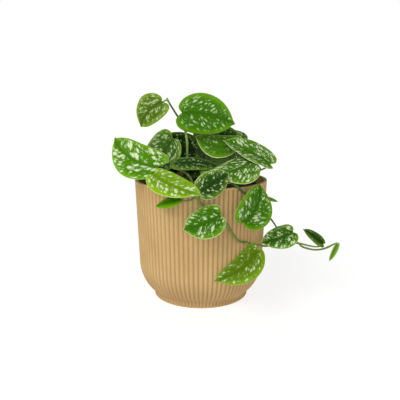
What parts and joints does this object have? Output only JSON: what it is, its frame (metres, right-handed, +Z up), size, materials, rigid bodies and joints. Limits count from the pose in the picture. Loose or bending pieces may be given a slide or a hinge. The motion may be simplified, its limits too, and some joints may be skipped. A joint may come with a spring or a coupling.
{
  "type": "potted satin pothos plant",
  "caption": "Trailing houseplant with silver-blotched heart-shaped leaves on slender stems, rooted in dark soil in a round, finely ribbed tan pot with a short foot.",
  "frame": {"origin": "centre of the pot's flat underside", "axes": "+Z up; -Y is the front, the side that the picture shows, where the lower trailing stem hangs over the rim; +X is to the viewer's right"},
  "size_m": [0.2325, 0.1866, 0.2147],
  "materials": {
    "pot": "matte tan with fine vertical ribs",
    "soil": "dark crumbly potting mix",
    "leaf": "satin green with silvery blotches",
    "stem": "smooth pale green"
  },
  "bodies": {
    "root": {"pot": "pot", "soil": "soil", "stem_front_trail": "stem", "stem_right_trail": "stem", "stem_top": "stem", "stem_left": "stem", "stem_centre": "stem", "stem_right": "stem", "stem_back_right": "stem", "stem_back_left": "stem", "stem_back_middle": "stem", "stem_far_left": "stem", "stem_far_right": "stem", "leaf_top_big": "leaf", "leaf_top_small": "leaf", "leaf_left_big": "leaf", "leaf_left_low": "leaf", "leaf_left_inner": "leaf", "leaf_back_left_big": "leaf", "leaf_centre_pale": "leaf", "leaf_right_big": "leaf", "leaf_back_dark": "leaf", "leaf_back_right_dark": "leaf", "leaf_centre_right": "leaf", "leaf_front_dark": "leaf", "leaf_middle_flat": "leaf", "leaf_under_left": "leaf", "leaf_front_hang": "leaf", "leaf_right_hang": "leaf", "leaf_lowest": "leaf", "leaf_right_trail": "leaf", "leaf_trail_narrow": "leaf", "leaf_trail_tip": "leaf", "leaf_right_small": "leaf", "leaf_inner_left": "leaf", "leaf_inner_centre": "leaf", "leaf_inner_bright": "leaf", "leaf_under_right": "leaf", "leaf_back_middle": "leaf", "leaf_back_upright": "leaf", "leaf_back_low_left": "leaf", "leaf_back_low_right": "leaf", "leaf_back_upper_left": "leaf", "leaf_back_upper_right": "leaf", "leaf_far_left": "leaf", "leaf_far_left_low": "leaf", "leaf_left_outer": "leaf", "leaf_far_right": "leaf", "leaf_far_right_low": "leaf", "leaf_right_outer": "leaf"}
  },
  "joints": []
}
